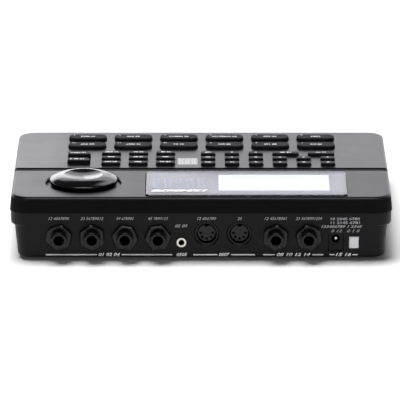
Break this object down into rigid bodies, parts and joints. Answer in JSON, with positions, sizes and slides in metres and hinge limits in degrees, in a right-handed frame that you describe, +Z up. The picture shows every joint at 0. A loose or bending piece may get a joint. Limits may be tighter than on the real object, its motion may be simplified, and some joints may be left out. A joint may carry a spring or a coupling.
{
  "type": "drum machine",
  "caption": "Flat table-top drum machine: sloping black deck with a field of pads, small buttons, a display window and a large volume knob; phone, MIDI and power sockets on the back.",
  "frame": {"origin": "on the table, below the middle of the bounding box", "axes": "+X to the player's right, +Y from the player towards the socket side, +Z up"},
  "size_m": [0.2378, 0.172, 0.046],
  "materials": {
    "case_plastic": "black moulded ABS, satin",
    "pad_plastic": "black moulded plastic, fine matt grain",
    "key_plastic": "black moulded plastic, fine matt grain",
    "knob_plastic": "black moulded plastic, polished",
    "power_key_plastic": "white moulded plastic, semi-gloss",
    "lens_acrylic": "clear acrylic window, polished",
    "mask_print": "black print behind the window",
    "lcd_screen": "unlit liquid crystal screen",
    "circuit_board": "green solder mask",
    "pot_metal": "plated steel",
    "jack_plastic": "black moulded nylon",
    "nut_plastic": "dark grey moulded nylon",
    "jack_nickel": "nickel plated",
    "foot_rubber": "black rubber",
    "screw_steel": "blackened steel"
  },
  "bodies": {
    "case": {"top_case": "case_plastic", "bottom_case": "case_plastic", "display_lens": "lens_acrylic", "display_mask": "mask_print", "lcd_module": "lcd_screen", "control_board": "circuit_board", "main_board": "circuit_board", "volume_pot": "pot_metal", "output_jacks": "jack_plastic", "footswitch_jacks": "jack_plastic", "jack_nuts": "nut_plastic", "tape_jack": "jack_nickel", "midi_sockets": "jack_plastic", "power_inlet": "jack_plastic", "power_inlet_pin": "jack_nickel", "power_switch": "jack_plastic", "rubber_feet": "foot_rubber", "case_screws": "screw_steel"},
    "drum_pad_1": {"drum_pad_1": "pad_plastic"},
    "drum_pad_2": {"drum_pad_2": "pad_plastic"},
    "drum_pad_3": {"drum_pad_3": "pad_plastic"},
    "drum_pad_4": {"drum_pad_4": "pad_plastic"},
    "drum_pad_5": {"drum_pad_5": "pad_plastic"},
    "drum_pad_6": {"drum_pad_6": "pad_plastic"},
    "drum_pad_7": {"drum_pad_7": "pad_plastic"},
    "drum_pad_8": {"drum_pad_8": "pad_plastic"},
    "drum_pad_9": {"drum_pad_9": "pad_plastic"},
    "drum_pad_10": {"drum_pad_10": "pad_plastic"},
    "drum_pad_11": {"drum_pad_11": "pad_plastic"},
    "drum_pad_12": {"drum_pad_12": "pad_plastic"},
    "function_button_1": {"function_button_1": "key_plastic"},
    "function_button_2": {"function_button_2": "key_plastic"},
    "function_button_3": {"function_button_3": "key_plastic"},
    "function_button_4": {"function_button_4": "key_plastic"},
    "function_button_5": {"function_button_5": "key_plastic"},
    "function_button_6": {"function_button_6": "key_plastic"},
    "function_button_7": {"function_button_7": "key_plastic"},
    "function_button_8": {"function_button_8": "key_plastic"},
    "function_button_9": {"function_button_9": "key_plastic"},
    "number_button_1": {"number_button_1": "key_plastic"},
    "number_button_2": {"number_button_2": "key_plastic"},
    "number_button_3": {"number_button_3": "key_plastic"},
    "number_button_4": {"number_button_4": "key_plastic"},
    "number_button_5": {"number_button_5": "key_plastic"},
    "number_button_6": {"number_button_6": "key_plastic"},
    "number_button_7": {"number_button_7": "key_plastic"},
    "number_button_8": {"number_button_8": "key_plastic"},
    "number_button_9": {"number_button_9": "key_plastic"},
    "number_button_10": {"number_button_10": "key_plastic"},
    "number_button_11": {"number_button_11": "key_plastic"},
    "number_button_12": {"number_button_12": "key_plastic"},
    "number_button_13": {"number_button_13": "key_plastic"},
    "number_button_14": {"number_button_14": "key_plastic"},
    "number_button_15": {"number_button_15": "key_plastic"},
    "mode_button_1": {"mode_button_1": "key_plastic"},
    "mode_button_2": {"mode_button_2": "key_plastic"},
    "start_button": {"start_button": "key_plastic"},
    "stop_button": {"stop_button": "key_plastic"},
    "power_button": {"power_button": "power_key_plastic"},
    "volume_knob": {"volume_knob": "knob_plastic"}
  },
  "joints": [
    {"name": "drum_pad_1_press", "type": "slide", "parent": "case", "child": "drum_pad_1", "axis": [0, 0.0767, -0.9971], "range_m": [0, 0.0012], "stiffness_N_per_m": 800, "springref_m": -0.001},
    {"name": "drum_pad_2_press", "type": "slide", "parent": "case", "child": "drum_pad_2", "axis": [0, 0.0767, -0.9971], "range_m": [0, 0.0012], "stiffness_N_per_m": 800, "springref_m": -0.001},
    {"name": "drum_pad_3_press", "type": "slide", "parent": "case", "child": "drum_pad_3", "axis": [0, 0.0767, -0.9971], "range_m": [0, 0.0012], "stiffness_N_per_m": 800, "springref_m": -0.001},
    {"name": "drum_pad_4_press", "type": "slide", "parent": "case", "child": "drum_pad_4", "axis": [0, 0.0767, -0.9971], "range_m": [0, 0.0012], "stiffness_N_per_m": 800, "springref_m": -0.001},
    {"name": "drum_pad_5_press", "type": "slide", "parent": "case", "child": "drum_pad_5", "axis": [0, 0.0767, -0.9971], "range_m": [0, 0.0012], "stiffness_N_per_m": 800, "springref_m": -0.001},
    {"name": "drum_pad_6_press", "type": "slide", "parent": "case", "child": "drum_pad_6", "axis": [0, 0.0767, -0.9971], "range_m": [0, 0.0012], "stiffness_N_per_m": 800, "springref_m": -0.001},
    {"name": "drum_pad_7_press", "type": "slide", "parent": "case", "child": "drum_pad_7", "axis": [0, 0.0767, -0.9971], "range_m": [0, 0.0012], "stiffness_N_per_m": 800, "springref_m": -0.001},
    {"name": "drum_pad_8_press", "type": "slide", "parent": "case", "child": "drum_pad_8", "axis": [0, 0.0767, -0.9971], "range_m": [0, 0.0012], "stiffness_N_per_m": 800, "springref_m": -0.001},
    {"name": "drum_pad_9_press", "type": "slide", "parent": "case", "child": "drum_pad_9", "axis": [0, 0.0767, -0.9971], "range_m": [0, 0.0012], "stiffness_N_per_m": 800, "springref_m": -0.001},
    {"name": "drum_pad_10_press", "type": "slide", "parent": "case", "child": "drum_pad_10", "axis": [0, 0.0767, -0.9971], "range_m": [0, 0.0012], "stiffness_N_per_m": 800, "springref_m": -0.001},
    {"name": "drum_pad_11_press", "type": "slide", "parent": "case", "child": "drum_pad_11", "axis": [0, 0.0767, -0.9971], "range_m": [0, 0.0012], "stiffness_N_per_m": 800, "springref_m": -0.001},
    {"name": "drum_pad_12_press", "type": "slide", "parent": "case", "child": "drum_pad_12", "axis": [0, 0.0767, -0.9971], "range_m": [0, 0.0012], "stiffness_N_per_m": 800, "springref_m": -0.001},
    {"name": "function_button_1_press", "type": "slide", "parent": "case", "child": "function_button_1", "axis": [0, 0.0767, -0.9971], "range_m": [0, 0.0008], "stiffness_N_per_m": 700, "springref_m": -0.0008},
    {"name": "function_button_2_press", "type": "slide", "parent": "case", "child": "function_button_2", "axis": [0, 0.0767, -0.9971], "range_m": [0, 0.0008], "stiffness_N_per_m": 700, "springref_m": -0.0008},
    {"name": "function_button_3_press", "type": "slide", "parent": "case", "child": "function_button_3", "axis": [0, 0.0767, -0.9971], "range_m": [0, 0.0008], "stiffness_N_per_m": 700, "springref_m": -0.0008},
    {"name": "function_button_4_press", "type": "slide", "parent": "case", "child": "function_button_4", "axis": [0, 0.0767, -0.9971], "range_m": [0, 0.0008], "stiffness_N_per_m": 700, "springref_m": -0.0008},
    {"name": "function_button_5_press", "type": "slide", "parent": "case", "child": "function_button_5", "axis": [0, 0.0767, -0.9971], "range_m": [0, 0.0008], "stiffness_N_per_m": 700, "springref_m": -0.0008},
    {"name": "function_button_6_press", "type": "slide", "parent": "case", "child": "function_button_6", "axis": [0, 0.0767, -0.9971], "range_m": [0, 0.0008], "stiffness_N_per_m": 700, "springref_m": -0.0008},
    {"name": "function_button_7_press", "type": "slide", "parent": "case", "child": "function_button_7", "axis": [0, 0.0767, -0.9971], "range_m": [0, 0.0008], "stiffness_N_per_m": 700, "springref_m": -0.0008},
    {"name": "function_button_8_press", "type": "slide", "parent": "case", "child": "function_button_8", "axis": [0, 0.0767, -0.9971], "range_m": [0, 0.0008], "stiffness_N_per_m": 700, "springref_m": -0.0008},
    {"name": "function_button_9_press", "type": "slide", "parent": "case", "child": "function_button_9", "axis": [0, 0.0767, -0.9971], "range_m": [0, 0.0008], "stiffness_N_per_m": 700, "springref_m": -0.0008},
    {"name": "number_button_1_press", "type": "slide", "parent": "case", "child": "number_button_1", "axis": [0, 0.0767, -0.9971], "range_m": [0, 0.0008], "stiffness_N_per_m": 700, "springref_m": -0.0008},
    {"name": "number_button_2_press", "type": "slide", "parent": "case", "child": "number_button_2", "axis": [0, 0.0767, -0.9971], "range_m": [0, 0.0008], "stiffness_N_per_m": 700, "springref_m": -0.0008},
    {"name": "number_button_3_press", "type": "slide", "parent": "case", "child": "number_button_3", "axis": [0, 0.0767, -0.9971], "range_m": [0, 0.0008], "stiffness_N_per_m": 700, "springref_m": -0.0008},
    {"name": "number_button_4_press", "type": "slide", "parent": "case", "child": "number_button_4", "axis": [0, 0.0767, -0.9971], "range_m": [0, 0.0008], "stiffness_N_per_m": 700, "springref_m": -0.0008},
    {"name": "number_button_5_press", "type": "slide", "parent": "case", "child": "number_button_5", "axis": [0, 0.0767, -0.9971], "range_m": [0, 0.0008], "stiffness_N_per_m": 700, "springref_m": -0.0008},
    {"name": "number_button_6_press", "type": "slide", "parent": "case", "child": "number_button_6", "axis": [0, 0.0767, -0.9971], "range_m": [0, 0.0008], "stiffness_N_per_m": 700, "springref_m": -0.0008},
    {"name": "number_button_7_press", "type": "slide", "parent": "case", "child": "number_button_7", "axis": [0, 0.0767, -0.9971], "range_m": [0, 0.0008], "stiffness_N_per_m": 700, "springref_m": -0.0008},
    {"name": "number_button_8_press", "type": "slide", "parent": "case", "child": "number_button_8", "axis": [0, 0.0767, -0.9971], "range_m": [0, 0.0008], "stiffness_N_per_m": 700, "springref_m": -0.0008},
    {"name": "number_button_9_press", "type": "slide", "parent": "case", "child": "number_button_9", "axis": [0, 0.0767, -0.9971], "range_m": [0, 0.0008], "stiffness_N_per_m": 700, "springref_m": -0.0008},
    {"name": "number_button_10_press", "type": "slide", "parent": "case", "child": "number_button_10", "axis": [0, 0.0767, -0.9971], "range_m": [0, 0.0008], "stiffness_N_per_m": 700, "springref_m": -0.0008},
    {"name": "number_button_11_press", "type": "slide", "parent": "case", "child": "number_button_11", "axis": [0, 0.0767, -0.9971], "range_m": [0, 0.0008], "stiffness_N_per_m": 700, "springref_m": -0.0008},
    {"name": "number_button_12_press", "type": "slide", "parent": "case", "child": "number_button_12", "axis": [0, 0.0767, -0.9971], "range_m": [0, 0.0008], "stiffness_N_per_m": 700, "springref_m": -0.0008},
    {"name": "number_button_13_press", "type": "slide", "parent": "case", "child": "number_button_13", "axis": [0, 0.0767, -0.9971], "range_m": [0, 0.0008], "stiffness_N_per_m": 700, "springref_m": -0.0008},
    {"name": "number_button_14_press", "type": "slide", "parent": "case", "child": "number_button_14", "axis": [0, 0.0767, -0.9971], "range_m": [0, 0.0008], "stiffness_N_per_m": 700, "springref_m": -0.0008},
    {"name": "number_button_15_press", "type": "slide", "parent": "case", "child": "number_button_15", "axis": [0, 0.0767, -0.9971], "range_m": [0, 0.0008], "stiffness_N_per_m": 700, "springref_m": -0.0008},
    {"name": "mode_button_1_press", "type": "slide", "parent": "case", "child": "mode_button_1", "axis": [0, 0.0767, -0.9971], "range_m": [0, 0.0008], "stiffness_N_per_m": 700, "springref_m": -0.0008},
    {"name": "mode_button_2_press", "type": "slide", "parent": "case", "child": "mode_button_2", "axis": [0, 0.0767, -0.9971], "range_m": [0, 0.0008], "stiffness_N_per_m": 700, "springref_m": -0.0008},
    {"name": "start_button_press", "type": "slide", "parent": "case", "child": "start_button", "axis": [0, 0.0767, -0.9971], "range_m": [0, 0.0008], "stiffness_N_per_m": 700, "springref_m": -0.0008},
    {"name": "stop_button_press", "type": "slide", "parent": "case", "child": "stop_button", "axis": [0, 0.0767, -0.9971], "range_m": [0, 0.0008], "stiffness_N_per_m": 700, "springref_m": -0.0008},
    {"name": "power_button_press", "type": "slide", "parent": "case", "child": "power_button", "axis": [0, -1, 0], "range_m": [0, 0.0016], "stiffness_N_per_m": 900, "springref_m": -0.0006},
    {"name": "volume_knob_turn", "type": "hinge", "parent": "case", "child": "volume_knob", "pos_m": [0.0736, 0.04452, 0.0404], "axis": [0, -0.0349, 0.9994], "range_deg": [-246, 54]}
  ]
}
